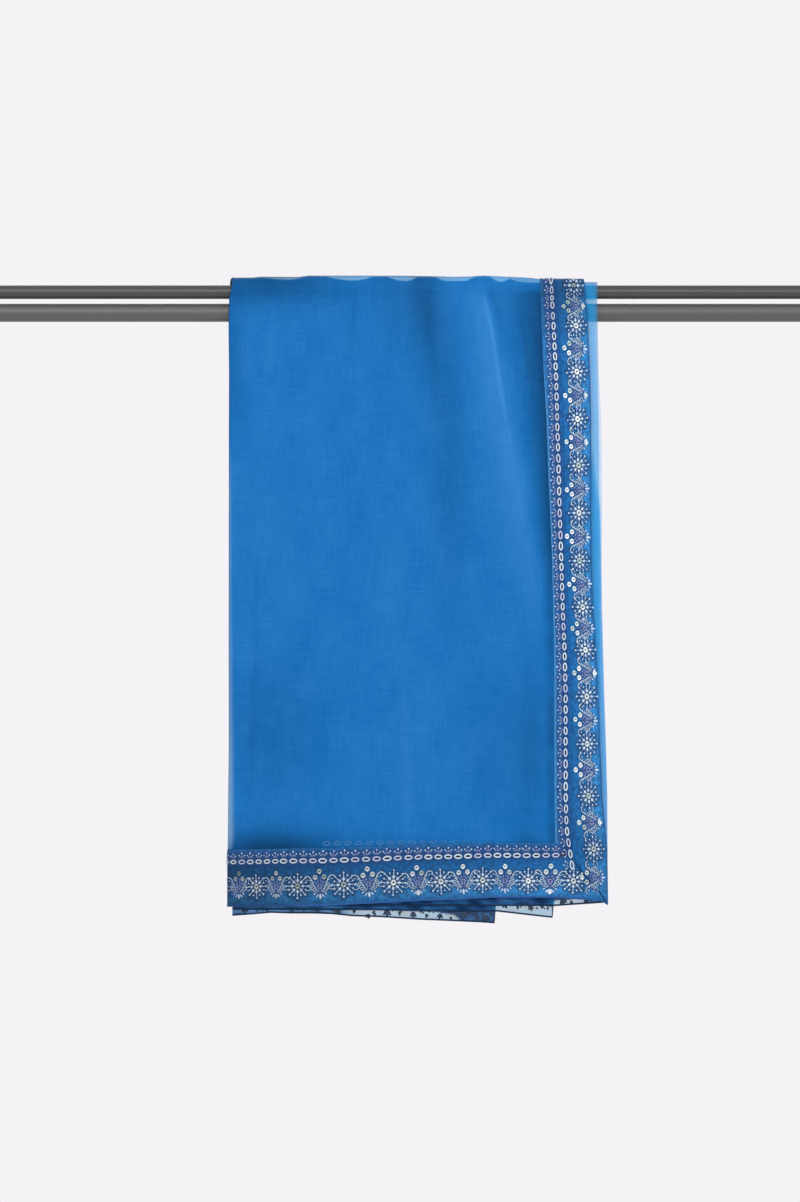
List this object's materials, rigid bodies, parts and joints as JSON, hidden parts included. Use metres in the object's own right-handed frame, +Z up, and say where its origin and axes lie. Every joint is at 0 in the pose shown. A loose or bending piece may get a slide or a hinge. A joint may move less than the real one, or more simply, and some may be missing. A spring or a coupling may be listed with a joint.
{
  "type": "folded organza dupatta stole hung over two rods",
  "caption": "Sheer blue organza dupatta with beaded lace borders, folded in three and hung over two plain metal rods.",
  "frame": {"origin": "midway between the axes of the two rods, halfway along them, where the cloth hangs", "axes": "+X along the rods, to the right as seen from the front; +Y to the back; +Z up"},
  "size_m": [0.76, 0.0332, 0.5821],
  "materials": {
    "organza": "sheer plain-weave organza, soft sheen",
    "organza_folds": "sheer organza in stacked layers",
    "flower_lace": "net lace with thread flowers, beads and sequins",
    "ring_lace": "narrow net lace with thread rings and sprigs",
    "hem_thread": "rolled and overcast hem",
    "steel": "dark brushed steel"
  },
  "bodies": {
    "root": {"rod_upper": "steel", "rod_lower": "steel", "panel_outer": "organza", "panel_folds": "organza_folds", "border_side": "flower_lace", "border_end": "flower_lace", "trim_side": "ring_lace", "trim_end": "ring_lace", "hem_side": "hem_thread", "hem_end": "hem_thread"}
  },
  "joints": []
}
